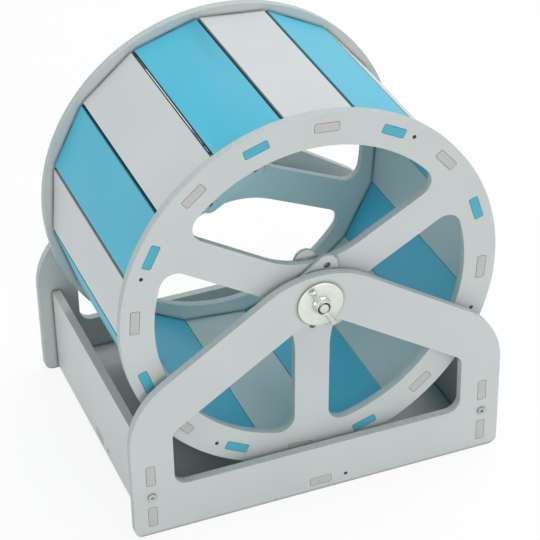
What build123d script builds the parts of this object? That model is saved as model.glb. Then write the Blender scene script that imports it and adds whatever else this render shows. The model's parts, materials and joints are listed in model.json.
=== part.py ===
from build123d import *
import math
import os

os.makedirs("parts", exist_ok=True)

# Rodent exercise wheel on a slot-together stand of foam board.
# Millimetres, X to the right along the front stand, Y to the back, +Z up.
# Origin: on the ground under the middle of the stand.

# Board and joinery
board = 5.0                 # thickness of every cut panel
tab_gap = 0.2               # play between a tab and its slot, on every side
tab_corner_radius = 0.8

# Wheel between the stand panels, along the axle
slat_length = 134.0         # between the discs
front_gap = 4.5             # front disc to front stand panel
rear_gap = 20.5             # rear disc to rear stand panel

# Stand panel outline
stand_half_width = 112.3
foot_corner_radius = 5.0
arm_slope_deg = 32.6        # slope of the arms, down from the neck
arm_outer_peak_z = 156.9    # where the two outer arm edges would meet
shoulder_radius = 45.0
neck_radius = 55.0
leg_width = 24.7
foot_bar_top_z = 30.2
opening_foot_radius = 8.0
arm_inner_peak_z = 122.9    # where the two inner arm edges would meet
opening_shoulder_radius = 6.0
opening_peak_radius = 28.0
axle_z = 129.0

# Side plates and their joints in the stand
side_plate_inset = 10.9     # middle of a side plate to the stand's end
side_plate_bottom_z = 1.5
side_plate_top_z = 57.0
side_tab_length = 13.2
side_tab_low_z = 12.4       # middle of the lower tab
side_tab_high_z = 41.0      # middle of the upper tab
stand_screw_z = 26.4

# Base board and its joints
base_mid_z = 6.5
base_tab_length = 12.9
base_pilot_offset = 15.6    # pilot hole beside the slot, from its middle
pilot_hole_radius = 1.15

# Cross-head screws that hold the stand panels to the side plates
screw_head_radius = 2.2
screw_head_height = 1.3
screw_head_round = 0.8
screw_shank_radius = 1.4
screw_tip_radius = 0.3
screw_tip_length = 3.0
screw_length = 20.0
screw_play = 0.1
screw_recess_width = 0.7
screw_recess_span = 2.3
screw_recess_depth = 0.8

# Discs
disc_radius = 110.8
slot_inset = 8.4            # middle of a slot to the disc's rim
ring_width = 19.4
spoke_width = 20.7
spoke_root_radius = 54.0    # rounding of a disc opening towards the hub
ring_corner_radius = 9.0
slat_count = 16
slat_tab_length = 14.0
disc_pilot_inset = 7.6      # pilot holes to the disc's rim
disc_pilot_turn_deg = 7.5
spoke_hole_offset = 20.5    # hole in one spoke, from the disc's middle
spoke_hole_radius = 2.0
wheel_turn_deg = 4.75       # first slot from the top, clockwise from the front

# Slats
slat_joint_gap = 0.4        # between the inner edges of two slats

# Hub plates and the holes for them
hub_plate_thickness = 2.5
hub_hole_circle_radius = 19.5
hub_corner_radius = 6.4
hub_hole_radius = 2.0
hub_bore_radius = 5.5
front_outer_plate_turn_deg = 17.3     # a corner from the first slot
front_inner_plate_turn_deg = -11.25
rear_inner_plate_turn_deg = 80.0

# Ball bearing
bearing_radius = 6.5
bearing_bore_radius = 3.0
bearing_chamfer = 0.3
ball_radius = 1.1
ball_count = 8
ball_circle_radius = 4.75
ball_play = 0.05
ring_land_gap = 0.65        # land of each ring from the ball circle
cage_half_thickness = 0.3
cage_half_width = 1.55

# Axle set
bolt_play = 0.05            # bolt in the pieces on it
bolt_head_across_flats = 10.0
bolt_head_height = 4.0
front_bolt_length = 30.0
rear_bolt_length = 40.0
bolt_end_chamfer = 0.6
bolt_end_proud = 0.5        # bolt end past the wing nut
sleeve_wall = 1.0
lock_nut_height = 5.0
washer_radius = 13.3
washer_thickness = 1.5
stand_hole_play = 0.2
wing_nut_base_radius = 5.3
wing_nut_top_radius = 4.2
wing_nut_height = 4.5
wing_half_span = 14.0
wing_tip_radius = 2.1
wing_tip_height = 2.7
wing_root_low = 0.6
wing_root_high = 4.2
wing_thickness = 1.8
wing_turn_deg = -28.4       # wing line from upright, clockwise from the front

# Places that follow from the sizes above
stand_inner_y = (slat_length + 2 * board + front_gap + rear_gap) / 2
stand_outer_y = stand_inner_y + board
side_plate_mid_x = stand_half_width - side_plate_inset
slat_pitch_deg = 360 / slat_count
slot_mid_radius = disc_radius - slot_inset
ring_inner_radius = disc_radius - ring_width
slat_inner_radius = slot_mid_radius - board / 2
slat_joint_turn = math.radians(slat_pitch_deg / 2)
slat_width = 2 * slat_inner_radius * math.tan(slat_joint_turn) - slat_joint_gap
first_spoke_deg = 2.5 * slat_pitch_deg       # from the first slot
rear_disc_turn_deg = 2 * slat_pitch_deg      # rear disc against the front one
bolt_radius = bearing_bore_radius - bolt_play
sleeve_radius = bearing_bore_radius + sleeve_wall
stand_bore_radius = bearing_bore_radius + stand_hole_play
bolt_end_y = stand_outer_y + washer_thickness + wing_nut_height + bolt_end_proud


def save(node, shape):
    """Write one piece to its own file."""
    shape.label = node
    export_step(shape, f"parts/{node}.step")


def front_plane(y):
    """Drawing plane at depth y with X to the right and Z up."""
    return Plane(origin=(0, y, 0), x_dir=(1, 0, 0), z_dir=(0, -1, 0))


def slab(sketch, y_low, y_high):
    """Board cut to an outline drawn in X and Z, between two depths."""
    return extrude(front_plane(y_high) * sketch, y_high - y_low)


def rod(radius, y_low, y_high, x=0.0, z=axle_z):
    """Round rod along Y between two depths."""
    return slab(Pos(x, z) * Circle(radius), y_low, y_high)


def tube(radius, bore, y_low, y_high):
    """Round sleeve about the axle between two depths."""
    return slab(Pos(0, axle_z) * (Circle(radius) - Circle(bore)), y_low, y_high)


def clockwise(shape, degrees, z=axle_z):
    """Turn a piece about the axle, clockwise seen from the front."""
    return shape.rotate(Axis((0, 0, z), (0, 1, 0)), degrees)


def to_back(shape):
    """Turn a front piece round the upright line to the back."""
    return shape.rotate(Axis.Z, 180)


def across(shape):
    """Turn a piece that lies along Y so that it lies along X."""
    return shape.rotate(Axis.Z, 90)


def tab_section(width, height, play=0.0):
    """Section of a tab with rounded corners, or of the slot round it."""
    return RectangleRounded(width + 2 * play, height + 2 * play, tab_corner_radius + play)


def box_between(x_low, x_high, y_low, y_high, z_low, z_high):
    """Straight block between six faces."""
    size = (x_high - x_low, y_high - y_low, z_high - z_low)
    middle = ((x_low + x_high) / 2, (y_low + y_high) / 2, (z_low + z_high) / 2)
    return Pos(*middle) * Box(*size)


# Stand panels
arm_drop = math.tan(math.radians(arm_slope_deg))
opening_half_width = stand_half_width - leg_width


def corner_at(shape, x, z):
    """Sketch corner closest to a point."""
    return min(shape.vertices(), key=lambda v: math.hypot(v.X - x, v.Y - z))


def rounded(shape, corners):
    """Round sketch corners, each given as x, z and radius."""
    for x, z, radius in corners:
        shape = fillet(corner_at(shape, x, z), radius)
    return shape


def stand_outline():
    """Outer edge of a stand panel: foot, legs, shoulders and neck."""
    shoulder_z = arm_outer_peak_z - arm_drop * stand_half_width
    w = stand_half_width
    face = make_face(Polyline((-w, 0), (w, 0), (w, shoulder_z), (0, arm_outer_peak_z),
                              (-w, shoulder_z), close=True))
    return rounded(face, [(-w, 0, foot_corner_radius), (w, 0, foot_corner_radius),
                          (w, shoulder_z, shoulder_radius), (-w, shoulder_z, shoulder_radius),
                          (0, arm_outer_peak_z, neck_radius)])


def stand_opening():
    """Large opening between the legs, the foot bar and the arms."""
    shoulder_z = arm_inner_peak_z - arm_drop * opening_half_width
    w = opening_half_width
    low = foot_bar_top_z
    face = make_face(Polyline((-w, low), (w, low), (w, shoulder_z), (0, arm_inner_peak_z),
                              (-w, shoulder_z), close=True))
    return rounded(face, [(-w, low, opening_foot_radius), (w, low, opening_foot_radius),
                          (w, shoulder_z, opening_shoulder_radius),
                          (-w, shoulder_z, opening_shoulder_radius),
                          (0, arm_inner_peak_z, opening_peak_radius)])


def stand_panel():
    """Front stand panel with its slots, screw holes, pilot hole and axle hole."""
    cuts = stand_opening() + Pos(0, axle_z) * Circle(stand_bore_radius)
    for side in (-1, 1):
        x = side * side_plate_mid_x
        for z in (side_tab_low_z, side_tab_high_z):
            cuts += Pos(x, z) * tab_section(board, side_tab_length, tab_gap)
        cuts += Pos(x, stand_screw_z) * Circle(screw_shank_radius + screw_play)
    cuts += Pos(0, base_mid_z) * tab_section(base_tab_length, board, tab_gap)
    cuts += Pos(base_pilot_offset, base_mid_z) * Circle(pilot_hole_radius)
    return slab(stand_outline() - cuts, -stand_outer_y, -stand_inner_y)


front_stand = stand_panel()
save("front_stand", front_stand)
save("rear_stand", to_back(front_stand))


# Side plates: tabs through both stand panels, a slot for the base board
def side_plate():
    """Right side plate."""
    inner_x = side_plate_mid_x - board / 2
    outer_x = side_plate_mid_x + board / 2
    plate = box_between(inner_x, outer_x, -stand_inner_y, stand_inner_y,
                        side_plate_bottom_z, side_plate_top_z)
    for z in (side_tab_low_z, side_tab_high_z):
        plate += slab(Pos(side_plate_mid_x, z) * tab_section(board, side_tab_length),
                      -stand_outer_y, stand_outer_y)
    base_slot = Pos(0, base_mid_z) * tab_section(base_tab_length, board, tab_gap)
    plate -= across(slab(base_slot, -outer_x, -inner_x))
    pilot = Rot(0, 90, 0) * Cylinder(pilot_hole_radius, board)
    plate -= Pos(side_plate_mid_x, -base_pilot_offset, base_mid_z) * pilot
    hole_depth = screw_length - screw_head_height
    for end in (-1, 1):
        near = end * stand_outer_y
        far = end * (stand_outer_y - hole_depth)
        plate -= rod(screw_shank_radius + screw_play, min(near, far), max(near, far),
                     side_plate_mid_x, stand_screw_z)
    return plate


right_side_plate = side_plate()
save("right_side_plate", right_side_plate)
save("left_side_plate", mirror(right_side_plate, Plane.YZ))


# Base board: a tab on each edge
def base_board():
    """Board lying between the stand panels and the side plates."""
    half_x = side_plate_mid_x - board / 2
    end_x = half_x + board
    tab = Pos(0, base_mid_z) * tab_section(base_tab_length, board)
    low = base_mid_z - board / 2
    high = base_mid_z + board / 2
    plate = box_between(-half_x, half_x, -stand_inner_y, stand_inner_y, low, high)
    plate += across(slab(tab, -end_x, end_x))
    return plate + slab(tab, -stand_outer_y, stand_outer_y)


save("base_board", base_board())


# Cross-head screws, two in each stand panel
def stand_screw():
    """Pan-head screw along Y: the tip points into the side plate."""
    head_y = -stand_outer_y - screw_head_height
    tip_y = head_y + screw_length
    head = rod(screw_head_radius, head_y, -stand_outer_y, 0, 0)
    head = fillet(head.edges().group_by(Axis.Y)[0], screw_head_round)
    shank = rod(screw_shank_radius, -stand_outer_y, tip_y - screw_tip_length, 0, 0)
    tip = loft([front_plane(tip_y - screw_tip_length) * Circle(screw_shank_radius),
                front_plane(tip_y) * Circle(screw_tip_radius)])
    screw = head + shank + tip
    for span, width in ((screw_recess_span, screw_recess_width),
                        (screw_recess_width, screw_recess_span)):
        screw -= box_between(-span / 2, span / 2, head_y, head_y + screw_recess_depth,
                             -width / 2, width / 2)
    return screw


front_screw_pair = Part() + [
    Pos(side * side_plate_mid_x, 0, stand_screw_z) * stand_screw() for side in (-1, 1)
]
save("front_stand_screws", front_screw_pair)
save("rear_stand_screws", to_back(front_screw_pair))


# Discs
def disc_opening(spoke_deg):
    """Opening clockwise of a spoke, about the disc middle, X right and Z up."""
    half = spoke_width / 2
    bisector = 60.0
    corner = half / math.sin(math.radians(bisector))
    reach = 2 * ring_inner_radius
    edge_x = reach * math.sin(math.radians(bisector))
    edge_z = reach * math.cos(math.radians(bisector))
    wedge = make_face(Polyline((0, corner), (edge_x, corner + edge_z),
                               (-edge_x, corner + edge_z), close=True))
    wedge = fillet(corner_at(wedge, 0, corner), spoke_root_radius)
    opening = wedge & Circle(ring_inner_radius)
    outer_corners = opening.vertices().sort_by(SortBy.DISTANCE)[-2:]
    opening = fillet(outer_corners, ring_corner_radius)
    return Rot(0, 0, -(spoke_deg + bisector)) * opening


def disc_face_y(gap):
    """Outer face of a disc that stands a gap behind the front stand panel."""
    return -stand_inner_y + gap


def disc(gap):
    """Disc at the front end with its first slot straight up."""
    cuts = Circle(bearing_radius)
    for k in range(3):
        spoke_deg = first_spoke_deg + 120 * k
        cuts += disc_opening(spoke_deg)
    hole = Pos(0, spoke_hole_offset) * Circle(spoke_hole_radius)
    cuts += Rot(0, 0, -(first_spoke_deg + 120)) * hole
    slot = tab_section(slat_tab_length, board, tab_gap)
    for k in range(slat_count):
        cuts += Rot(0, 0, -slat_pitch_deg * k) * Pos(0, slot_mid_radius) * slot
    for quarter, side in enumerate((1, -1, 1, -1)):
        turn = slat_pitch_deg + 90 * quarter + side * disc_pilot_turn_deg
        pilot = Pos(0, disc_radius - disc_pilot_inset) * Circle(pilot_hole_radius)
        cuts += Rot(0, 0, -turn) * pilot
    sketch = Pos(0, axle_z) * (Circle(disc_radius) - cuts)
    return slab(sketch, disc_face_y(gap), disc_face_y(gap) + board)


rear_turn_deg = wheel_turn_deg + rear_disc_turn_deg
save("front_disc", clockwise(disc(front_gap), wheel_turn_deg))
save("rear_disc", clockwise(to_back(disc(rear_gap)), rear_turn_deg))


# Slats
def slat():
    """Running slat at the top of the wheel, with a tab at each end."""
    low = axle_z + slat_inner_radius
    high = low + board
    front = disc_face_y(front_gap)
    rear = -disc_face_y(rear_gap)
    half = slat_width / 2
    plate = box_between(-half, half, front + board, rear - board, low, high)
    return plate + slab(Pos(0, low + board / 2) * tab_section(slat_tab_length, board), front, rear)


top_slat = slat()
for number in range(slat_count):
    turned = clockwise(top_slat, wheel_turn_deg + slat_pitch_deg * number)
    save(f"slat_{number + 1:02d}", turned)


# Hub plates
def hub_plate(y_low, turn_deg):
    """Rounded three-cornered plate, one corner turned from the first slot."""
    turns = [math.radians(120 * k) for k in range(3)]
    corners = [(hub_hole_circle_radius * math.sin(a), hub_hole_circle_radius * math.cos(a))
               for a in turns]
    face = offset(make_face(Polyline(*corners, close=True)), hub_corner_radius)
    face -= Circle(hub_bore_radius)
    for corner in corners:
        face -= Pos(*corner) * Circle(hub_hole_radius)
    plate = slab(Pos(0, axle_z) * face, y_low, y_low + hub_plate_thickness)
    return clockwise(plate, turn_deg)


def hub_plates(gap, outer_turn_deg, inner_turn_deg):
    """Outer and inner hub plate of a disc at the front end."""
    face_y = disc_face_y(gap)
    return {
        "hub_plate_outer": hub_plate(face_y - hub_plate_thickness, outer_turn_deg),
        "hub_plate_inner": hub_plate(face_y + board, inner_turn_deg),
    }


front_plates = hub_plates(front_gap, front_outer_plate_turn_deg, front_inner_plate_turn_deg)
for name, piece in front_plates.items():
    save(f"front_{name}", clockwise(piece, wheel_turn_deg))
rear_plates = hub_plates(rear_gap, first_spoke_deg, rear_inner_plate_turn_deg)
for name, piece in rear_plates.items():
    save(f"rear_{name}", clockwise(to_back(piece), rear_turn_deg))


# Ball bearings, one in each disc, as wide as the board
def race_groove(mid_y):
    """Ring-shaped space the balls run in."""
    path_centre = Plane(origin=(ball_circle_radius, mid_y, axle_z), x_dir=(1, 0, 0),
                        z_dir=(0, 0, 1))
    section = path_centre * Circle(ball_radius + ball_play)
    return revolve(section, Axis((0, 0, axle_z), (0, 1, 0)))


def bearing_ring(outer, bore, rim_radius, mid_y):
    """Bearing ring with a ball groove and a small chamfer at its mating rim."""
    ring = tube(outer, bore, mid_y - board / 2, mid_y + board / 2)
    rims = [e for e in ring.edges().filter_by(GeomType.CIRCLE) if abs(e.radius - rim_radius) < 1e-6]
    return chamfer(rims, bearing_chamfer) - race_groove(mid_y)


def balls(mid_y):
    """Ring of bearing balls."""
    one = Pos(0, mid_y, axle_z + ball_circle_radius) * Sphere(ball_radius)
    return Part() + [clockwise(one, 360 / ball_count * k) for k in range(ball_count)]


def cage(mid_y):
    """Thin ring with a round pocket for every ball."""
    ring = tube(ball_circle_radius + cage_half_thickness, ball_circle_radius - cage_half_thickness,
                mid_y - cage_half_width, mid_y + cage_half_width)
    pocket = Cylinder(ball_radius + ball_play, 2 * ball_radius)
    pocket = Pos(0, mid_y, axle_z + ball_circle_radius) * pocket
    for k in range(ball_count):
        ring -= clockwise(pocket, 360 / ball_count * k)
    return ring


def bearing_pieces(gap):
    """Ball bearing in a disc at the front end."""
    mid_y = disc_face_y(gap) + board / 2
    outer_land = ball_circle_radius + ring_land_gap
    inner_land = ball_circle_radius - ring_land_gap
    return {
        "bearing_outer_ring": bearing_ring(bearing_radius, outer_land, bearing_radius, mid_y),
        "bearing_inner_ring": bearing_ring(inner_land, bearing_bore_radius, bearing_bore_radius,
                                           mid_y),
        "bearing_balls": balls(mid_y),
        "bearing_cage": cage(mid_y),
    }


# Axle sets, from the bolt head inside the wheel to the wing nut outside
def hexagon(y_low, y_high):
    """Hexagon block about the axle."""
    across_corners_radius = bolt_head_across_flats / math.sqrt(3)
    return slab(Pos(0, axle_z) * RegularPolygon(across_corners_radius, 6), y_low, y_high)


def axle_bolt(head_y):
    """Hexagon bolt pointing to the front, its head resting at head_y."""
    head = hexagon(head_y, head_y + bolt_head_height)
    shank = rod(bolt_radius, -bolt_end_y, head_y)
    shank = chamfer(shank.edges().group_by(Axis.Y)[0], bolt_end_chamfer)
    return head + shank


def wing_nut(seat_y):
    """Wing nut standing on the plane seat_y, wings towards the front."""
    foot = front_plane(seat_y) * Pos(0, axle_z) * Circle(wing_nut_base_radius)
    top = front_plane(seat_y - wing_nut_height) * Pos(0, axle_z) * Circle(wing_nut_top_radius)
    body = loft([foot, top])
    tip_x = wing_half_span - wing_tip_radius
    outline = Polyline((0, wing_root_low), (tip_x, wing_tip_height - wing_tip_radius),
                       (tip_x, wing_tip_height + wing_tip_radius), (0, wing_root_high), close=True)
    blade_face = make_face(outline) + Pos(tip_x, wing_tip_height) * Circle(wing_tip_radius)
    blade_face += mirror(blade_face, Plane.YZ)
    blade_plane = Plane(origin=(0, seat_y, axle_z), x_dir=(0, 0, 1), z_dir=(1, 0, 0))
    blade = extrude(blade_plane * blade_face, wing_thickness / 2, both=True)
    nut = body + blade - rod(bearing_bore_radius, seat_y - wing_nut_height, seat_y)
    return clockwise(nut, wing_turn_deg)


def axle_pieces(gap, bolt_length, has_lock_nut):
    """Bolt with all that is on it, at the front end."""
    face_y = disc_face_y(gap)
    head_y = bolt_length - bolt_end_y
    washer_y = -stand_inner_y + washer_thickness
    sleeve_y = washer_y + (lock_nut_height if has_lock_nut else 0)
    outside_y = -stand_outer_y - washer_thickness
    pieces = {
        "axle_bolt": axle_bolt(head_y),
        "head_sleeve": tube(sleeve_radius, bearing_bore_radius, face_y + board, head_y),
        "hub_sleeve": tube(sleeve_radius, bearing_bore_radius, sleeve_y, face_y),
        "inner_washer": tube(washer_radius, bearing_bore_radius, -stand_inner_y, washer_y),
        "fender_washer": tube(washer_radius, bearing_bore_radius, outside_y, -stand_outer_y),
        "wing_nut": wing_nut(outside_y),
    }
    if has_lock_nut:
        nut = hexagon(washer_y, sleeve_y)
        pieces["lock_nut"] = nut - rod(bearing_bore_radius, washer_y, sleeve_y)
    return pieces


front_set = bearing_pieces(front_gap) | axle_pieces(front_gap, front_bolt_length, False)
for name, piece in front_set.items():
    save(f"front_{name}", piece)

rear_set = bearing_pieces(rear_gap) | axle_pieces(rear_gap, rear_bolt_length, True)
for name, piece in rear_set.items():
    save(f"rear_{name}", to_back(piece))
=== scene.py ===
"""Dresses a rodent exercise wheel: boards, slats, bearings, axle hardware and the studio around it."""

import json
import math

import bmesh
import bpy
from bpy.props import FloatProperty, FloatVectorProperty, PointerProperty, StringProperty
from mathutils import Matrix, Vector


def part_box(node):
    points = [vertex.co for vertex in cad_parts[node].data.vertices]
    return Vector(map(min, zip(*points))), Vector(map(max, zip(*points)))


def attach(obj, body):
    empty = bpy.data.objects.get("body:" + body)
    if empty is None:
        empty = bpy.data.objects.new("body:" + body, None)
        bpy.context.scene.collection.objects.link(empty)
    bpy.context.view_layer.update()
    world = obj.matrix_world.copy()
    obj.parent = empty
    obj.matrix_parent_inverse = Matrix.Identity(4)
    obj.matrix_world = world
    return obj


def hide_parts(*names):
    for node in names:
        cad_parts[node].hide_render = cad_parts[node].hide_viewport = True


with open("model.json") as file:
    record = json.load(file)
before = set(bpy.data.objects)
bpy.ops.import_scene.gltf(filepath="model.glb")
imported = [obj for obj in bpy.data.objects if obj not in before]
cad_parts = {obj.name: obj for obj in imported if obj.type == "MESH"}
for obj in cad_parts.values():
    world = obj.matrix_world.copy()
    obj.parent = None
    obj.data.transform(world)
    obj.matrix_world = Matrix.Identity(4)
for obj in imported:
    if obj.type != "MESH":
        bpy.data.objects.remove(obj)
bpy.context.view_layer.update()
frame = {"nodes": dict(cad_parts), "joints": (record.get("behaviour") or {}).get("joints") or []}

bl_info = {
    "name": "Rodent Exercise Wheel",
    "version": (1, 0, 0),
    "blender": (4, 5, 0),
    "location": "View3D > Sidebar > Exercise Wheel",
    "description": "Builds a flat-pack running wheel on its stand, with its hardware and a plain studio",
    "category": "Add Mesh",
}

MM = 0.001
AXLE = Vector(frame["joints"][0]["pos_m"])
SLATS = sorted(name for name in frame["nodes"] if name.startswith("slat_"))
ENDS = (("front", -1), ("rear", 1))  # each end of the axle and its outward direction along Y

# Axle bolts and lock nut, M6
BOLT_RADIUS = 2.95 * MM
BOLT_BORE = 3.02 * MM
ACROSS_FLATS = 10.0 * MM
HEAD_HEIGHT = 4.0 * MM
THREAD_END_CHAMFER = 0.7 * MM
THREAD_RUNOUT = 0.3 * MM
LOCK_NUT_STEEL_HEIGHT = 3.7 * MM
COLLAR_LOW = 3.3 * MM
COLLAR_HIGH = 4.5 * MM
COLLAR_RADIUS = 3.9 * MM
# Radius and height in millimetres of the lip that is rolled over the lock nut's collar.
LOCK_NUT_LIP = [(4.7, 3.3), (4.55, 4.3), (4.2, 4.85), (3.9, 5.0), (3.9, 4.4), (3.5, 4.4), (3.5, 3.3)]

# Stand screws
SCREW_HEAD_RADIUS = 2.2 * MM
SCREW_HEAD_HEIGHT = 1.3 * MM
SCREW_RADIUS = 1.4 * MM
SCREW_THREAD_DEPTH = 0.35 * MM
SCREW_POINT = 3.0 * MM
CROSS_HALF_WIDTH = 0.42 * MM
CROSS_HALF_LENGTH = 1.25 * MM
CROSS_DEPTH = 1.0 * MM
CROSS_SIDE_TAPER = 0.14 * MM
CROSS_END_TAPER = 0.45 * MM

# Wing nut, in millimetres. Radius and height: foot, waist, shoulder, countersink and bore.
WING_NUT_BODY = [
    (3.02, 0.0), (5.05, 0.0), (5.3, 0.3), (5.25, 1.1), (4.75, 2.0),
    (4.45, 3.4), (4.3, 4.2), (4.0, 4.5), (3.85, 4.5), (3.1, 3.4),
]
# Distance from the axle along the blade, low edge, high edge and thickness.
WING_NUT_BLADE = [
    (3.5, 0.7, 3.3, 3.6), (4.4, 0.7, 3.35, 3.3), (5.6, 0.7, 3.5, 3.0), (7.5, 0.7, 3.8, 2.8),
    (9.6, 0.65, 4.15, 2.8), (11.0, 0.6, 4.4, 3.1), (12.2, 0.6, 4.65, 3.8), (13.2, 0.8, 4.75, 4.0),
    (13.8, 1.3, 4.3, 3.5), (14.0, 2.0, 3.6, 2.4),
]

# Studio, in metres
LAMP_TARGET = (0, 0, 0.12)
SOFTBOXES = (
    ("key_softbox", (0.55, 0.25, 1.45), 1.1, "key_power"),
    ("front_softbox", (0.1, -1.7, 0.75), 1.0, "front_power"),
    ("left_softbox", (-1.5, -0.2, 0.8), 1.0, "left_power"),
)
BLACK_CARDS = (
    ("black_card_high", (0.02, 0.32, 0.87), 0.34),
    ("black_card_low", (0.07, -0.155, 0.004), 0.028),
)
CARD_TARGET = (0, -0.09, AXLE.z)
FLOOR_HALF_SIZE = 3.0
FLOOR_DROP = 0.0002
FLOOR_GLOW = 0.86


# Small tools


def linear(code):
    """Scene colour of an sRGB hex colour."""
    channels = [int(code[i : i + 2], 16) / 255 for i in (1, 3, 5)]
    return tuple(c / 12.92 if c <= 0.04045 else ((c + 0.055) / 1.055) ** 2.4 for c in channels) + (1.0,)


def clamp(value):
    """Value held between 0 and 1."""
    return min(max(value, 0), 1)


def add_node(tree, kind, inputs=None, **settings):
    """Adds a node. A value in inputs that is another node's output is linked, and any other is set."""
    made = tree.nodes.new(kind)
    for key, value in settings.items():
        setattr(made, key, value)
    for key, value in (inputs or {}).items():
        if isinstance(value, bpy.types.NodeSocket):
            tree.links.new(value, made.inputs[key])
        else:
            made.inputs[key].default_value = value
    return made


def new_material(name):
    """Empty material: its tree and its output node."""
    material = bpy.data.materials.new(name)
    material.use_nodes = True
    tree = material.node_tree
    tree.nodes.clear()
    return material, tree, tree.nodes.new("ShaderNodeOutputMaterial")


def new_object(name, data):
    """Object in the scene's own collection."""
    made = bpy.data.objects.new(name, data)
    bpy.context.scene.collection.objects.link(made)
    return made


def new_piece(name, mesh_data, material, body, node):
    """Object that rides on a body and stands for a CAD node."""
    piece = new_object(name, mesh_data)
    mesh_data.materials.append(material)
    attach(piece, body)
    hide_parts(node)
    return piece


def to_mesh(name, bm, smooth_deg=35.0):
    """Mesh of a bmesh, without doubled corners, smooth where faces meet at a small angle."""
    bmesh.ops.remove_doubles(bm, verts=bm.verts, dist=0.001 * MM)
    bmesh.ops.recalc_face_normals(bm, faces=bm.faces)
    mesh_data = bpy.data.meshes.new(name)
    bm.to_mesh(mesh_data)
    bm.free()
    mesh_data.shade_smooth()
    mesh_data.set_sharp_from_angle(angle=math.radians(smooth_deg))
    return mesh_data


def pour_into(bm, part):
    """Moves all of one bmesh into another."""
    carrier = bpy.data.meshes.new("carrier")
    part.to_mesh(carrier)
    part.free()
    bm.from_mesh(carrier)
    bpy.data.meshes.remove(carrier)


def add_ring(bm, radius, height, count):
    """Circle of vertices about the Z axis."""
    turns = [2 * math.pi * k / count for k in range(count)]
    return [bm.verts.new((radius * math.cos(a), radius * math.sin(a), height)) for a in turns]


def skin_rings(bm, rings, caps=True):
    """Joins rings of vertices that follow each other, and closes the two ends."""
    count = len(rings[0])
    for near, far in zip(rings, rings[1:]):
        for k in range(count):
            bm.faces.new((near[k], near[(k + 1) % count], far[(k + 1) % count], far[k]))
    if caps:
        bm.faces.new(rings[0][::-1])
        bm.faces.new(rings[-1])


def lathe(bm, profile, segments=96):
    """Turns a closed profile of (radius, height) about the Z axis."""
    rings = [add_ring(bm, radius, height, segments) for radius, height in profile]
    skin_rings(bm, rings + rings[:1], caps=False)


def round_profile(corners, radius, steps=4):
    """Closed profile with each corner rounded by an arc of a small radius."""
    points = []
    count = len(corners)
    for k, corner in enumerate(corners):
        here = Vector(corner)
        before = (Vector(corners[k - 1]) - here).normalized()
        after = (Vector(corners[(k + 1) % count]) - here).normalized()
        half = before.angle(after) / 2
        reach = radius / math.tan(half)
        middle = here + (before + after).normalized() * radius / math.sin(half)
        start = (here + before * reach - middle).normalized()
        end = (here + after * reach - middle).normalized()
        for step in range(steps + 1):
            points.append(tuple(middle + radius * start.slerp(end, step / steps)))
    return points


def outward_turn(outward):
    """Rotation that lays the Z axis along Y, pointing outward."""
    return Matrix.Rotation(math.radians(-90 * outward), 4, "X")


def along_axle(bm, y, outward):
    """Turns a bmesh built along +Z so that it points outward along Y from the depth y on the axle."""
    place = Matrix.Translation((AXLE.x, y, AXLE.z))
    bmesh.ops.transform(bm, matrix=place @ outward_turn(outward), verts=bm.verts)


def round_size(name):
    """Radius and length along the axle of a round CAD node."""
    low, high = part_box(name)
    return (high.x - low.x) / 2, high.y - low.y


def seat(name, outward):
    """Depth of the face of a CAD node that points into the wheel."""
    low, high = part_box(name)
    return high.y if outward < 0 else low.y


# Settings


class WheelBoardSettings(bpy.types.PropertyGroup):
    """Colours and edges of the expanded PVC boards."""

    grey: StringProperty(
        name="Grey", description="Skin colour of the grey boards, sRGB hex", default="#C3C8C7",
    )
    grey_core: StringProperty(
        name="Grey cut edge", description="Colour of the grey foam core, sRGB hex", default="#B5BDBC",
    )
    tab: StringProperty(
        name="Tab ends", description="Colour of the grey tab ends, sRGB hex", default="#BDBCB9",
    )
    blue: StringProperty(
        name="Blue", description="Skin colour of the blue slats, sRGB hex", default="#48B2CC",
    )
    blue_core: StringProperty(
        name="Blue cut edge", description="Colour of the blue foam core, sRGB hex", default="#4AABC2",
    )
    edge_round: FloatProperty(
        name="Edge rounding", description="Radius worn on every cut edge", default=0.45 * MM,
        min=0.05 * MM, max=0.8 * MM, precision=5, unit="LENGTH",
    )
    skin_grain: FloatProperty(
        name="Skin grain", description="Grain width of the board's skin", default=0.7 * MM,
        min=0.1 * MM, max=5 * MM, precision=5, unit="LENGTH",
    )


class WheelHardwareSettings(bpy.types.PropertyGroup):
    """Colours and sizes of the metal hardware."""

    zinc: StringProperty(
        name="Zinc", description="Colour of bright zinc plating, sRGB hex", default="#DCE2DC",
    )
    washer: StringProperty(
        name="Washers", description="Colour of the tumbled washers, sRGB hex", default="#E4E9DE",
    )
    screw: StringProperty(
        name="Screws", description="Colour of the dull screws, sRGB hex", default="#C2C8C4",
    )
    bearing: StringProperty(
        name="Bearing steel", description="Colour of ground bearing steel, sRGB hex", default="#C9CBCE",
    )
    cage: StringProperty(
        name="Cage", description="Colour of the pressed bearing cage, sRGB hex", default="#B9A98A",
    )
    nylon: StringProperty(
        name="Nylon", description="Colour of the lock nut's nylon collar, sRGB hex", default="#3E7FB8",
    )
    pitch: FloatProperty(
        name="Thread pitch", description="Distance between two threads of the bolts and screws",
        default=1.0 * MM, min=0.5 * MM, max=2 * MM, precision=5, unit="LENGTH",
    )
    thread_depth: FloatProperty(
        name="Thread depth", description="Depth of the threads of the axle bolts",
        default=0.5 * MM, min=0.1 * MM, max=1 * MM, precision=5, unit="LENGTH",
    )
    wing_turn: FloatProperty(
        name="Wing turn", description="Turn of the wings from upright, against the clock",
        default=math.radians(28.4), subtype="ANGLE",
    )


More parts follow.
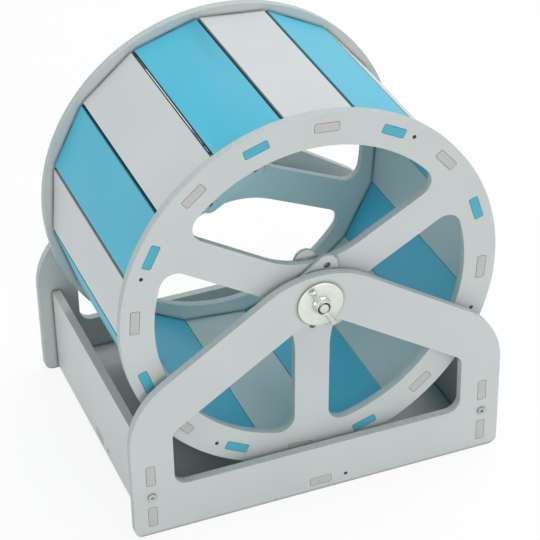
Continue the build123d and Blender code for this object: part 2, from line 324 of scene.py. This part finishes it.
class WheelStageSettings(bpy.types.PropertyGroup):
    """Camera, lamps and floor."""

    camera_place: FloatVectorProperty(
        name="Camera", description="Where the camera stands",
        default=(-0.36061, -0.94249, 0.75923), subtype="TRANSLATION",
    )
    camera_turn: FloatVectorProperty(
        name="Camera turn", description="Rotation of the camera", subtype="EULER",
        default=tuple(math.radians(turn) for turn in (56.6922, 0.9579, -21.8929)),
    )
    camera_lens: FloatProperty(
        name="Lens", description="Focal length in millimetres", default=138.018, min=20, max=400,
        unit="CAMERA",
    )
    floor: StringProperty(
        name="Floor", description="Colour of the studio floor, sRGB hex", default="#F4F4F4",
    )
    key_power: FloatProperty(
        name="Key light", description="Power of the large soft light", default=12.5, min=0, unit="POWER",
    )
    front_power: FloatProperty(
        name="Front light", description="Power of the soft front light", default=8.5, min=0, unit="POWER",
    )
    left_power: FloatProperty(
        name="Left light", description="Power of the soft left light", default=5.5, min=0, unit="POWER",
    )
    bounce_power: FloatProperty(
        name="Bounce", description="Power of the light thrown about inside the wheel",
        default=0.055, min=0, unit="POWER",
    )
    sky: FloatProperty(
        name="Sky", description="Strength of the even light from all round", default=0.56, min=0, max=2,
    )


# Materials


def off_axle(tree, position):
    """Vector from the axle to a position, square to the axle."""
    away = add_node(tree, "ShaderNodeVectorMath", {0: position, 1: AXLE}, operation="SUBTRACT").outputs[0]
    return add_node(tree, "ShaderNodeVectorMath", {0: away, 1: (1, 0, 1)}, operation="MULTIPLY").outputs[0]


def board_material(name, skin, core, across, grain):
    """Expanded PVC sheet, extruded with a closed skin and cut to shape with a router.

    The skin gives the eye an even satin colour with a faint orange peel and a few soft scuffs. The cut
    edges show the foam core: duller, and striped along the thickness by the cutter. across is the
    direction of the board's thickness: X, Y, Z, or AXLE for the slats, which lie round the axle.
    """
    material, tree, output = new_material(name)
    place = add_node(tree, "ShaderNodeTexCoord")
    spot = place.outputs["Object"]
    if across == "AXLE":
        direction = off_axle(tree, spot)
        direction = add_node(
            tree, "ShaderNodeVectorMath", {0: direction}, operation="NORMALIZE"
        ).outputs[0]
    else:
        direction = tuple(float(letter == across) for letter in "XYZ")
    facing = add_node(
        tree, "ShaderNodeVectorMath", {0: place.outputs["Normal"], 1: direction}, operation="DOT_PRODUCT"
    ).outputs["Value"]
    facing = add_node(tree, "ShaderNodeMath", {0: facing}, operation="ABSOLUTE").outputs[0]
    is_skin = add_node(
        tree, "ShaderNodeMapRange", {"Value": facing, "From Min": 0.55, "From Max": 0.9},
        interpolation_type="SMOOTHSTEP",
    ).outputs[0]
    # Orange peel of the extruded skin: the real one is about 0.3 mm wide, drawn coarser so that it shows.
    peel = add_node(
        tree, "ShaderNodeTexNoise",
        {"Vector": spot, "Scale": 1 / grain, "Detail": 3.0, "Roughness": 0.6},
    ).outputs["Fac"]
    # Slow unevenness of the sheet, some 40 mm across.
    cloud = add_node(
        tree, "ShaderNodeTexNoise",
        {"Vector": spot, "Scale": 1 / (38 * MM), "Detail": 2.0, "Roughness": 0.5},
    ).outputs["Fac"]
    # Soft scuffs from handling: thin streaks some 20 mm long.
    streak_place = add_node(
        tree, "ShaderNodeMapping",
        {"Vector": spot, "Rotation": (0.4, 0.7, 0.9), "Scale": (1.0, 9.0, 3.0)},
    ).outputs[0]
    streak = add_node(
        tree, "ShaderNodeTexNoise",
        {
            "Vector": streak_place, "Scale": 1 / (22 * MM), "Detail": 4.0, "Roughness": 0.65,
            "Distortion": 0.5,
        },
    ).outputs["Fac"]
    scuff = add_node(
        tree, "ShaderNodeMapRange", {"Value": streak, "From Min": 0.62, "From Max": 0.78}
    ).outputs[0]
    # Marks of the router bit about 0.6 mm apart, drawn out along the thickness of a flat board, and the
    # open cells of the foam.
    squeeze = {"X": (0.08, 1, 1), "Y": (1, 0.08, 1), "Z": (1, 1, 0.08), "AXLE": (1, 1, 1)}[across]
    ridge_place = add_node(tree, "ShaderNodeMapping", {"Vector": spot, "Scale": squeeze}).outputs[0]
    ridge = add_node(
        tree, "ShaderNodeTexNoise",
        {"Vector": ridge_place, "Scale": 1 / (0.6 * MM), "Detail": 2.0, "Roughness": 0.55},
    ).outputs["Fac"]
    cell = add_node(
        tree, "ShaderNodeTexVoronoi", {"Vector": spot, "Scale": 1 / (0.35 * MM)}, feature="F1"
    ).outputs["Distance"]
    # Colour
    shade = add_node(
        tree, "ShaderNodeMapRange",
        {"Value": cloud, "From Min": 0.3, "From Max": 0.7, "To Min": 0.972, "To Max": 1.015},
    ).outputs[0]
    speck = add_node(
        tree, "ShaderNodeMapRange",
        {"Value": peel, "From Min": 0.3, "From Max": 0.7, "To Min": 0.985, "To Max": 1.01},
    ).outputs[0]
    both = add_node(tree, "ShaderNodeMath", {0: shade, 1: speck}, operation="MULTIPLY").outputs[0]
    skin_tone = add_node(
        tree, "ShaderNodeVectorMath", {0: linear(skin)[:3], "Scale": both}, operation="SCALE"
    ).outputs[0]
    core_shade = add_node(
        tree, "ShaderNodeMapRange",
        {"Value": ridge, "From Min": 0.3, "From Max": 0.7, "To Min": 0.9, "To Max": 1.04},
    ).outputs[0]
    core_tone = add_node(
        tree, "ShaderNodeVectorMath", {0: linear(core)[:3], "Scale": core_shade}, operation="SCALE"
    ).outputs[0]
    colour = add_node(
        tree, "ShaderNodeMix", {"Factor": is_skin, 6: core_tone, 7: skin_tone}, data_type="RGBA"
    ).outputs[2]
    # Painted shade: joints, tab gaps and inside corners are darkened in the last two millimetres, where an
    # ambient occlusion node finds nearby faces.
    shelter = add_node(tree, "ShaderNodeAmbientOcclusion", {"Distance": 2.2 * MM}, samples=6).outputs["AO"]
    painted_joint_shade = add_node(
        tree, "ShaderNodeMapRange",
        {"Value": shelter, "From Min": 0.5, "From Max": 0.97, "To Min": 0.36},
    ).outputs[0]
    colour = add_node(tree, "ShaderNodeVectorMath", {0: colour, "Scale": painted_joint_shade}, operation="SCALE").outputs[0]
    # Roughness: satin skin, a little glossier where it is scuffed, and a matt core
    skin_rough = add_node(
        tree, "ShaderNodeMapRange",
        {"Value": peel, "From Min": 0.25, "From Max": 0.75, "To Min": 0.4, "To Max": 0.5},
    ).outputs[0]
    skin_rough = add_node(
        tree, "ShaderNodeMath", {0: scuff, 1: -0.08, 2: skin_rough}, operation="MULTIPLY_ADD"
    ).outputs[0]
    rough = add_node(
        tree, "ShaderNodeMix", {"Factor": is_skin, 2: 0.78, 3: skin_rough}, data_type="FLOAT"
    ).outputs[0]
    # Relief: the ridges and cells of the core stand three times as high as the orange peel of the skin.
    core_height = add_node(
        tree, "ShaderNodeMath", {0: cell, 1: 0.35, 2: ridge}, operation="MULTIPLY_ADD"
    ).outputs[0]
    core_height = add_node(tree, "ShaderNodeMath", {0: core_height, 1: 3.0}, operation="MULTIPLY").outputs[0]
    skin_height = add_node(
        tree, "ShaderNodeMath", {0: scuff, 1: -0.5, 2: peel}, operation="MULTIPLY_ADD"
    ).outputs[0]
    height = add_node(
        tree, "ShaderNodeMix", {"Factor": is_skin, 2: core_height, 3: skin_height}, data_type="FLOAT"
    ).outputs[0]
    bump = add_node(tree, "ShaderNodeBump", {"Height": height, "Strength": 0.35, "Distance": 0.03 * MM})
    shader = add_node(
        tree, "ShaderNodeBsdfPrincipled",
        {"Base Color": colour, "Roughness": rough, "IOR": 1.53, "Normal": bump.outputs[0]},
    )
    tree.links.new(shader.outputs[0], output.inputs["Surface"])
    return material


def metal_material(
    name, tone, rough, line, stretch=(1, 1, 1), dark=0.86, relief=0.02 * MM, core_radius=0.0
):
    """Metal with fine tool marks that break up its reflections, and duller patches where it was handled.

    rough holds the lowest and the highest roughness. line is the spacing of the marks in metres, and
    stretch how they are drawn out along X, Y and Z: 1 keeps the spacing and less makes them longer.
    dark is the share of the tone left in the patches. Beyond core_radius from the axle, if it is given,
    dark rolling oil fills the threads.
    """
    material, tree, output = new_material(name)
    spot = add_node(tree, "ShaderNodeTexCoord").outputs["Object"]
    drawn = add_node(tree, "ShaderNodeMapping", {"Vector": spot, "Scale": stretch}).outputs[0]
    marks = add_node(
        tree, "ShaderNodeTexNoise",
        {"Vector": drawn, "Scale": 1 / line, "Detail": 3.0, "Roughness": 0.6},
    ).outputs["Fac"]
    # Patches a few millimetres wide.
    patch = add_node(
        tree, "ShaderNodeTexNoise",
        {"Vector": spot, "Scale": 1 / (3 * MM), "Detail": 2.0, "Roughness": 0.5},
    ).outputs["Fac"]
    roughness = add_node(
        tree, "ShaderNodeMapRange",
        {"Value": marks, "From Min": 0.3, "From Max": 0.7, "To Min": rough[0], "To Max": rough[1]},
    ).outputs[0]
    roughness = add_node(
        tree, "ShaderNodeMath", {0: patch, 1: 0.08, 2: roughness}, operation="MULTIPLY_ADD"
    ).outputs[0]
    shade = add_node(
        tree, "ShaderNodeMapRange",
        {"Value": patch, "From Min": 0.3, "From Max": 0.7, "To Min": dark, "To Max": 1.0},
    ).outputs[0]
    colour = add_node(
        tree, "ShaderNodeVectorMath", {0: linear(tone)[:3], "Scale": shade}, operation="SCALE"
    ).outputs[0]
    if core_radius:
        reach = off_axle(tree, spot)
        reach = add_node(tree, "ShaderNodeVectorMath", {0: reach}, operation="LENGTH").outputs["Value"]
        oil = add_node(
            tree, "ShaderNodeMapRange",
            {
                "Value": reach, "From Min": core_radius, "From Max": core_radius + 0.2 * MM,
                "To Min": 1.0, "To Max": 0.2,
            },
        ).outputs[0]
        colour = add_node(
            tree, "ShaderNodeVectorMath", {0: colour, "Scale": oil}, operation="SCALE"
        ).outputs[0]
    bump = add_node(tree, "ShaderNodeBump", {"Height": marks, "Strength": 0.4, "Distance": relief})
    shader = add_node(
        tree, "ShaderNodeBsdfPrincipled",
        {"Base Color": colour, "Metallic": 1.0, "Roughness": roughness, "Normal": bump.outputs[0]},
    )
    tree.links.new(shader.outputs[0], output.inputs["Surface"])
    return material


def nylon_material(tone):
    """Moulded nylon: a slightly glossy plastic with faint flow lines and a little light inside."""
    material, tree, output = new_material("nylon_moulded")
    spot = add_node(tree, "ShaderNodeTexCoord").outputs["Object"]
    flow = add_node(
        tree, "ShaderNodeTexNoise",
        {"Vector": spot, "Scale": 1 / (0.8 * MM), "Detail": 3.0, "Distortion": 1.0},
    ).outputs["Fac"]
    shade = add_node(
        tree, "ShaderNodeMapRange", {"Value": flow, "To Min": 0.9, "To Max": 1.05}
    ).outputs[0]
    colour = add_node(
        tree, "ShaderNodeVectorMath", {0: linear(tone)[:3], "Scale": shade}, operation="SCALE"
    ).outputs[0]
    rough = add_node(
        tree, "ShaderNodeMapRange", {"Value": flow, "To Min": 0.3, "To Max": 0.42}
    ).outputs[0]
    bump = add_node(tree, "ShaderNodeBump", {"Height": flow, "Strength": 0.3, "Distance": 0.02 * MM})
    shader = add_node(
        tree, "ShaderNodeBsdfPrincipled",
        {
            "Base Color": colour, "Roughness": rough, "IOR": 1.53, "Normal": bump.outputs[0],
            "Subsurface Weight": 0.2, "Subsurface Radius": (0.3 * MM, 0.4 * MM, 0.6 * MM),
        },
    )
    tree.links.new(shader.outputs[0], output.inputs["Surface"])
    return material


# Boards


def dress_board(name, material, edge):
    """Gives a CAD board its material and its worn edges."""
    board = frame["nodes"][name]
    board.data.materials.clear()
    board.data.materials.append(material)
    weld = board.modifiers.new("join corners", "WELD")
    weld.merge_threshold = 0.002 * MM
    plane = board.modifiers.new("one face per plane", "DECIMATE")
    plane.decimate_type = "DISSOLVE"
    plane.angle_limit = math.radians(0.5)
    worn = board.modifiers.new("worn edges", "BEVEL")
    worn.width = edge
    worn.segments = 3
    worn.limit_method = "ANGLE"
    worn.angle_limit = math.radians(50)
    worn.harden_normals = True


class WHEEL_OT_stand(bpy.types.Operator):
    """Dress the two stand panels, the side plates and the base board"""

    bl_idname = "wheel.stand"
    bl_label = "Stand boards"

    def execute(self, context):
        look = context.scene.wheel_boards
        for across, names, core in (
            ("Y", ("front_stand", "rear_stand"), look.grey_core),
            ("X", ("left_side_plate", "right_side_plate"), look.tab),
            ("Z", ("base_board",), look.tab),
        ):
            material = board_material(
                f"grey_expanded_pvc_{across.lower()}", look.grey, core, across, look.skin_grain
            )
            for name in names:
                dress_board(name, material, look.edge_round)
        return {"FINISHED"}


class WHEEL_OT_discs(bpy.types.Operator):
    """Dress the spoked discs and the hub plates"""

    bl_idname = "wheel.discs"
    bl_label = "Discs and hub plates"

    def execute(self, context):
        look = context.scene.wheel_boards
        material = board_material("grey_expanded_pvc_disc", look.grey, look.grey_core, "Y", look.skin_grain)
        for end, _ in ENDS:
            for part in ("disc", "hub_plate_outer", "hub_plate_inner"):
                dress_board(f"{end}_{part}", material, look.edge_round)
        return {"FINISHED"}


class WHEEL_OT_slats(bpy.types.Operator):
    """Dress the running slats, grey and blue in turn"""

    bl_idname = "wheel.slats"
    bl_label = "Running slats"

    def execute(self, context):
        look = context.scene.wheel_boards
        grey = board_material("grey_expanded_pvc_slat", look.grey, look.tab, "AXLE", look.skin_grain)
        blue = board_material("blue_expanded_pvc_slat", look.blue, look.blue_core, "AXLE", look.skin_grain)
        for number, name in enumerate(SLATS):
            dress_board(name, blue if number % 2 else grey, look.edge_round)
        return {"FINISHED"}


# Hardware


def add_blade(bm, stations, side):
    """One blade of a wing nut along Y: side is 1 or -1. Each section is a rectangle with round ends."""
    count = 20
    roundness = 0.8
    rings = []
    for place, low, high, thickness in stations:
        half = thickness / 2
        middle = (low + high) / 2
        lift = max((high - low) / 2 - half * roundness, 0)
        ring = []
        for step in range(count):
            turn = 2 * math.pi * step / count
            x = half * math.cos(turn)
            # The upper half of the circle moves up by lift and the lower half down.
            z = middle + half * roundness * math.sin(turn) + math.copysign(lift, math.sin(turn + 1e-6))
            ring.append(bm.verts.new((x * MM, side * place * MM, z * MM)))
        rings.append(ring)
    skin_rings(bm, rings)


def add_hexagon(bm, low, high, across_flats, chamfer_high, bore=0.0):
    """Hexagon along Z, for a bolt head or a nut, with its corners turned off at 30 degrees.

    The low end is always turned off, and the high end where chamfer_high says so.
    """
    flat = across_flats / 2
    round_radius = flat * 0.97
    slope = math.tan(math.radians(30))
    count = 144
    rings = [add_ring(bm, round_radius, low, count)]
    for level, sense in ((low, 1), (high, -1 if chamfer_high else 0)):
        ring = []
        for k in range(count):
            turn = 2 * math.pi * k / count
            reach = flat / math.cos((turn % (math.pi / 3)) - math.pi / 6)
            loss = max(reach - round_radius, 0) * slope
            ring.append(bm.verts.new((reach * math.cos(turn), reach * math.sin(turn), level + sense * loss)))
        rings.append(ring)
    rings.append(add_ring(bm, round_radius, high, count))
    if bore:
        rings += [add_ring(bm, bore, level, count) for level in (high, low)]
        skin_rings(bm, rings + rings[:1], caps=False)
    else:
        skin_rings(bm, rings)


def add_thread(bm, low, high, radius, pitch, depth, segments=48, rows_per_pitch=10, point=0.0):
    """Rolled thread along Z with a chamfered end, or a sharp point of the given length."""
    rows = int((high - low) / pitch * rows_per_pitch)
    rings = []
    for row in range(rows + 1):
        z = low + (high - low) * row / rows
        to_end = high - z
        limit = radius - max(THREAD_END_CHAMFER - to_end, 0) * 0.9
        if point:
            limit = min(radius, radius * (0.12 + 0.88 * to_end / point))
        ring = []
        for k in range(segments):
            # The ridge rises and falls once in a pitch, and is flat at its crest and its root.
            wave = abs((((z / pitch) - k / segments) % 1) * 2 - 1)
            ridge = clamp((wave - 0.15) / 0.7)
            place = min(radius - depth * (1 - ridge), limit)
            if z < low + THREAD_RUNOUT:
                place = radius
            turn = 2 * math.pi * k / segments
            ring.append(bm.verts.new((place * math.cos(turn), place * math.sin(turn), z)))
        rings.append(ring)
    skin_rings(bm, rings)


def add_screw(bm, length, pitch):
    """Pan-head screw along Z: the seat at 0, the head above it and the shank below."""
    count = 96
    steps = 30
    rim_start = 0.8
    rings = []
    for step in range(steps + 1):
        share = step / steps
        radius = SCREW_HEAD_RADIUS * math.sin(share * math.pi / 2)
        dome = SCREW_HEAD_HEIGHT * (1 - 0.25 * (radius / SCREW_HEAD_RADIUS) ** 2)
        if share > rim_start:
            past_rim = (share - rim_start) / (1 - rim_start)
            dome *= math.sqrt(max(1 - past_rim**2, 0)) * 0.75 + 0.25
        ring = []
        for k in range(count):
            turn = 2 * math.pi * k / count
            x = radius * math.cos(turn)
            y = radius * math.sin(turn)
            # The recess is a cross of two tapered arms, deepest where they meet.
            along = max(abs(x), abs(y))
            beside = min(abs(x), abs(y))
            wall = clamp((CROSS_HALF_WIDTH - beside) / CROSS_SIDE_TAPER)
            reach = clamp((CROSS_HALF_LENGTH - along) / CROSS_END_TAPER)
            ring.append(bm.verts.new((x, y, dome - CROSS_DEPTH * wall * reach)))
        rings.append(ring)
    rings.append(add_ring(bm, SCREW_HEAD_RADIUS, 0, count))
    rings.append(add_ring(bm, SCREW_RADIUS, 0, count))
    skin_rings(bm, rings)
    shank = bmesh.new()
    add_thread(
        shank, 0, length - SCREW_HEAD_HEIGHT, SCREW_RADIUS, pitch, SCREW_THREAD_DEPTH,
        segments=32, rows_per_pitch=8, point=SCREW_POINT,
    )
    bmesh.ops.transform(shank, matrix=Matrix.Rotation(math.pi, 4, "X"), verts=shank.verts)
    pour_into(bm, shank)


class WHEEL_OT_washers(bpy.types.Operator):
    """Model the stamped washers and the turned sleeves on the axle bolts"""

    bl_idname = "wheel.washers"
    bl_label = "Washers and sleeves"

    def execute(self, context):
        look = context.scene.wheel_hardware
        plated = metal_material(
            "zinc_plated_washer_tumbled", look.washer, rough=(0.4, 0.52), line=0.5 * MM, dark=0.93
        )
        turned = metal_material(
            "zinc_plated_sleeve_turned", look.zinc, rough=(0.24, 0.34), line=0.2 * MM,
            stretch=(0.2, 1, 0.2),
        )
        for end, outward in ENDS:
            for part, material, edge in (
                ("fender_washer", plated, 0.4 * MM), ("inner_washer", plated, 0.4 * MM),
                ("head_sleeve", turned, 0.2 * MM), ("hub_sleeve", turned, 0.2 * MM),
            ):
                name = f"{end}_{part}"
                radius, height = round_size(name)
                corners = [(BOLT_BORE, 0), (radius, 0), (radius, height), (BOLT_BORE, height)]
                bm = bmesh.new()
                lathe(bm, round_profile(corners, min(edge, 0.45 * (radius - BOLT_BORE), 0.3 * height)))
                along_axle(bm, seat(name, outward), outward)
                new_piece(f"{name}_rounded", to_mesh(name, bm), material, "stand", name)
        return {"FINISHED"}


class WHEEL_OT_wing_nuts(bpy.types.Operator):
    """Model the cast wing nuts: round body, countersunk bore and two blades"""

    bl_idname = "wheel.wing_nuts"
    bl_label = "Wing nuts"

    def execute(self, context):
        look = context.scene.wheel_hardware
        cast = metal_material(
            "zinc_plated_wing_nut_cast", look.zinc, rough=(0.08, 0.18), line=0.7 * MM, dark=0.72,
            relief=0.05 * MM,
        )
        for end, outward in ENDS:
            name = f"{end}_wing_nut"
            bm = bmesh.new()
            lathe(bm, [(radius * MM, height * MM) for radius, height in WING_NUT_BODY], 72)
            for side in (1, -1):
                add_blade(bm, WING_NUT_BLADE, side)
            turn = Matrix.Rotation(look.wing_turn, 3, "Z")
            bmesh.ops.rotate(bm, cent=(0, 0, 0), matrix=turn, verts=bm.verts)
            along_axle(bm, seat(name, outward), outward)
            nut = new_piece(f"{name}_cast", to_mesh(name, bm), cast, "stand", name)
            # Fuses the body and the blades, with the soft hollows of a casting.
            fused = nut.modifiers.new("one casting", "REMESH")
            fused.mode = "VOXEL"
            fused.voxel_size = 0.16 * MM
            fused.use_smooth_shade = True
            soft = nut.modifiers.new("soft hollows", "SMOOTH")
            soft.factor = 0.5
            soft.iterations = 5
        return {"FINISHED"}


class WHEEL_OT_bolts(bpy.types.Operator):
    """Model the threaded axle bolts with their chamfered heads, and the lock nut"""

    bl_idname = "wheel.bolts"
    bl_label = "Axle bolts and lock nut"

    def execute(self, context):
        look = context.scene.wheel_hardware
        marks = {"rough": (0.2, 0.32), "line": 0.3 * MM, "stretch": (1, 0.3, 1), "dark": 0.85}
        turned = metal_material("zinc_plated_nut_turned", look.zinc, **marks)
        rolled = metal_material("zinc_plated_bolt_rolled", look.zinc, **marks, core_radius=2.5 * MM)
        nylon = nylon_material(look.nylon)
        for end, outward in ENDS:
            name = f"{end}_axle_bolt"
            low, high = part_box(name)
            bm = bmesh.new()
            add_hexagon(bm, 0, HEAD_HEIGHT, ACROSS_FLATS, chamfer_high=False)
            add_thread(bm, HEAD_HEIGHT, high.y - low.y, BOLT_RADIUS, look.pitch, look.thread_depth)
            along_axle(bm, seat(name, outward), outward)
            new_piece(f"{name}_threaded", to_mesh(name, bm), rolled, "stand", name)
        name = "rear_lock_nut"
        seat_y = seat(name, -1)
        bm = bmesh.new()
        add_hexagon(bm, 0, LOCK_NUT_STEEL_HEIGHT, ACROSS_FLATS, chamfer_high=True, bore=BOLT_BORE)
        lathe(bm, [(radius * MM, height * MM) for radius, height in LOCK_NUT_LIP])
        along_axle(bm, seat_y, -1)
        new_piece(f"{name}_steel", to_mesh(name, bm), turned, "stand", name)
        collar = [
            (BOLT_BORE, COLLAR_LOW), (COLLAR_RADIUS, COLLAR_LOW),
            (COLLAR_RADIUS, COLLAR_HIGH), (BOLT_BORE, COLLAR_HIGH),
        ]
        bm = bmesh.new()
        lathe(bm, round_profile(collar, 0.15 * MM))
        along_axle(bm, seat_y, -1)
        new_piece(f"{name}_collar", to_mesh(f"{name}_collar", bm), nylon, "stand", name)
        return {"FINISHED"}


class WHEEL_OT_screws(bpy.types.Operator):
    """Model the cross-head screws: domed heads with a tapered recess"""

    bl_idname = "wheel.screws"
    bl_label = "Stand screws"

    def execute(self, context):
        look = context.scene.wheel_hardware
        steel = metal_material(
            "zinc_plated_screw_headed", look.screw, rough=(0.24, 0.36), line=0.3 * MM, dark=0.8
        )
        for end, outward in ENDS:
            name = f"{end}_stand_screws"
            low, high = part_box(name)
            seat_y = low.y + SCREW_HEAD_HEIGHT if outward < 0 else high.y - SCREW_HEAD_HEIGHT
            bm = bmesh.new()
            for x in (low.x + SCREW_HEAD_RADIUS, high.x - SCREW_HEAD_RADIUS):
                screw = bmesh.new()
                add_screw(screw, high.y - low.y, look.pitch)
                place = Matrix.Translation((x, seat_y, (low.z + high.z) / 2))
                bmesh.ops.transform(screw, matrix=place @ outward_turn(outward), verts=screw.verts)
                pour_into(bm, screw)
            new_piece(f"{name}_headed", to_mesh(name, bm, smooth_deg=30), steel, "stand", name)
        return {"FINISHED"}


class WHEEL_OT_bearings(bpy.types.Operator):
    """Dress the rings, balls and cages of the ball bearings"""

    bl_idname = "wheel.bearings"
    bl_label = "Ball bearings"

    def execute(self, context):
        look = context.scene.wheel_hardware
        ground = metal_material(
            "bearing_steel_ground", look.bearing, rough=(0.14, 0.24), line=0.12 * MM, stretch=(1, 0.2, 1)
        )
        polished = metal_material(
            "bearing_steel_polished", look.bearing, rough=(0.05, 0.09), line=0.3 * MM, dark=0.95,
            relief=0.002 * MM,
        )
        pressed = metal_material("steel_cage_pressed", look.cage, rough=(0.3, 0.42), line=0.3 * MM)
        finishes = (
            ("outer_ring", ground), ("inner_ring", ground), ("balls", polished), ("cage", pressed),
        )
        for end, _ in ENDS:
            for part, material in finishes:
                node = frame["nodes"][f"{end}_bearing_{part}"]
                node.data.materials.clear()
                node.data.materials.append(material)
        return {"FINISHED"}


# Studio


def aim(place, target):
    """Rotation that points a lamp or a card from a place to a target."""
    return (Vector(target) - Vector(place)).to_track_quat("-Z", "Y").to_euler()


def open_air(tree):
    """1 for a ray that shows the background, straight to the camera or mirrored in metal, else 0."""
    ray = add_node(tree, "ShaderNodeLightPath").outputs
    return add_node(
        tree, "ShaderNodeMath", {0: ray["Is Camera Ray"], 1: ray["Is Glossy Ray"]}, operation="MAXIMUM"
    ).outputs[0]


def floor_material(tone):
    """Matt paper floor: it keeps the soft shadow, and the camera sees it close to white."""
    material, tree, output = new_material("matt_studio_paper")
    spot = add_node(tree, "ShaderNodeTexCoord").outputs["Object"]
    fibre = add_node(
        tree, "ShaderNodeTexNoise", {"Vector": spot, "Scale": 1 / (2 * MM), "Detail": 2.0}
    ).outputs["Fac"]
    shade = add_node(
        tree, "ShaderNodeMapRange", {"Value": fibre, "To Min": 0.985, "To Max": 1.0}
    ).outputs[0]
    colour = add_node(
        tree, "ShaderNodeVectorMath", {0: linear(tone)[:3], "Scale": shade}, operation="SCALE"
    ).outputs[0]
    paper = add_node(tree, "ShaderNodeBsdfDiffuse", {"Color": colour}).outputs[0]
    glow = add_node(tree, "ShaderNodeEmission", {"Color": (1, 1, 1, 1), "Strength": 1.0}).outputs[0]
    share = add_node(tree, "ShaderNodeMath", {0: open_air(tree), 1: FLOOR_GLOW}, operation="MULTIPLY")
    mixed = add_node(tree, "ShaderNodeMixShader", {0: share.outputs[0], 1: paper, 2: glow})
    tree.links.new(mixed.outputs[0], output.inputs["Surface"])
    return material


def card_material():
    """Black flocked card: soot black with a faint felt grain, so that metal mirrors a deep, quiet tone."""
    material, tree, output = new_material("black_flocked_card")
    spot = add_node(tree, "ShaderNodeTexCoord").outputs["Object"]
    felt = add_node(
        tree, "ShaderNodeTexNoise", {"Vector": spot, "Scale": 1 / (1.5 * MM), "Detail": 3.0}
    ).outputs["Fac"]
    shade = add_node(
        tree, "ShaderNodeMapRange", {"Value": felt, "To Min": 0.6, "To Max": 1.2}
    ).outputs[0]
    colour = add_node(
        tree, "ShaderNodeVectorMath", {0: linear("#1A1D1D")[:3], "Scale": shade}, operation="SCALE"
    ).outputs[0]
    paper = add_node(tree, "ShaderNodeBsdfDiffuse", {"Color": colour, "Roughness": 1.0})
    tree.links.new(paper.outputs[0], output.inputs["Surface"])
    return material


def stage_sheet(name, segments, half_size, material, place):
    """Flat square of the stage, which isn't part of the wheel."""
    bm = bmesh.new()
    bmesh.ops.create_grid(bm, x_segments=segments, y_segments=segments, size=half_size)
    sheet = new_object(name, to_mesh(name, bm))
    sheet.data.materials.append(material)
    sheet.location = place
    return sheet


def soft_light(name, place, size, power):
    """Square softbox aimed at the wheel."""
    lamp = bpy.data.lights.new(name, "AREA")
    lamp.size = size
    lamp.energy = power
    softbox = new_object(name, lamp)
    softbox.location = place
    softbox.rotation_euler = aim(place, LAMP_TARGET)


def bounce_light(power):
    """Light that the blue slats throw on each other, drawn as a faint lamp inside the wheel."""
    glow = bpy.data.lights.new("bounce_inside", "POINT")
    glow.energy = power
    glow.color = (0.3, 0.9, 1.0)
    glow.shadow_soft_size = 0.05
    new_object("bounce_inside", glow).location = (0, 0, AXLE.z)


def studio_air(strength):
    """Even light from all round, and a white background."""
    world = bpy.data.worlds.new("studio_air")
    world.use_nodes = True
    tree = world.node_tree
    tree.nodes.clear()
    air = add_node(tree, "ShaderNodeBackground", {"Color": (0.95, 0.99, 1, 1), "Strength": strength})
    white = add_node(tree, "ShaderNodeBackground", {"Color": (1, 1, 1, 1), "Strength": 1.0})
    mixed = add_node(
        tree, "ShaderNodeMixShader", {0: open_air(tree), 1: air.outputs[0], 2: white.outputs[0]}
    )
    add_node(tree, "ShaderNodeOutputWorld", {"Surface": mixed.outputs[0]})
    return world


class WHEEL_OT_stage(bpy.types.Operator):
    """Set up the floor, the lamps and the camera"""

    bl_idname = "wheel.stage"
    bl_label = "Studio"

    def execute(self, context):
        scene = context.scene
        look = scene.wheel_stage
        stage_sheet("studio_floor", 24, FLOOR_HALF_SIZE, floor_material(look.floor), (0, 0, -FLOOR_DROP))
        for name, place, size, power in SOFTBOXES:
            soft_light(name, place, size, getattr(look, power))
        # Only bare metal sees the black cards, as dark shapes between the lamps.
        felt = card_material()
        for name, place, half_size in BLACK_CARDS:
            card = stage_sheet(name, 8, half_size, felt, place)
            card.rotation_euler = aim(place, CARD_TARGET)
            for ray in ("camera", "diffuse", "transmission", "volume_scatter", "shadow"):
                setattr(card, f"visible_{ray}", False)
        bounce_light(look.bounce_power)
        scene.world = studio_air(look.sky)
        scene.view_settings.view_transform = "Standard"
        lens = bpy.data.cameras.new("product_camera")
        lens.lens = look.camera_lens
        lens.sensor_width = 36
        lens.clip_start = 0.05
        camera = new_object("product_camera", lens)
        camera.location = look.camera_place
        camera.rotation_euler = look.camera_turn
        scene.camera = camera
        return {"FINISHED"}


class WHEEL_PT_panel(bpy.types.Panel):
    """Lists the steps that build the wheel"""

    bl_label = "Exercise Wheel"
    bl_idname = "WHEEL_PT_panel"
    bl_space_type = "VIEW_3D"
    bl_region_type = "UI"
    bl_category = "Exercise Wheel"

    def draw(self, context):
        for operator in OPERATORS:
            self.layout.operator(operator.bl_idname)


OPERATORS = (
    WHEEL_OT_stand, WHEEL_OT_discs, WHEEL_OT_slats, WHEEL_OT_washers, WHEEL_OT_wing_nuts, WHEEL_OT_bolts,
    WHEEL_OT_screws, WHEEL_OT_bearings, WHEEL_OT_stage,
)
SETTINGS = (
    ("wheel_boards", WheelBoardSettings),
    ("wheel_hardware", WheelHardwareSettings),
    ("wheel_stage", WheelStageSettings),
)


def register():
    """Register the settings, the operators and the panel."""
    for name, group in SETTINGS:
        bpy.utils.register_class(group)
        setattr(bpy.types.Scene, name, PointerProperty(type=group))
    for kind in (*OPERATORS, WHEEL_PT_panel):
        bpy.utils.register_class(kind)


def unregister():
    """Undo register."""
    for kind in reversed((*OPERATORS, WHEEL_PT_panel)):
        bpy.utils.unregister_class(kind)
    for name, group in reversed(SETTINGS):
        delattr(bpy.types.Scene, name)
        bpy.utils.unregister_class(group)


def main():
    """Build the whole scene."""
    register()
    for operator in OPERATORS:
        group, step = operator.bl_idname.split(".")
        getattr(getattr(bpy.ops, group), step)()


if __name__ == "__main__":
    main()
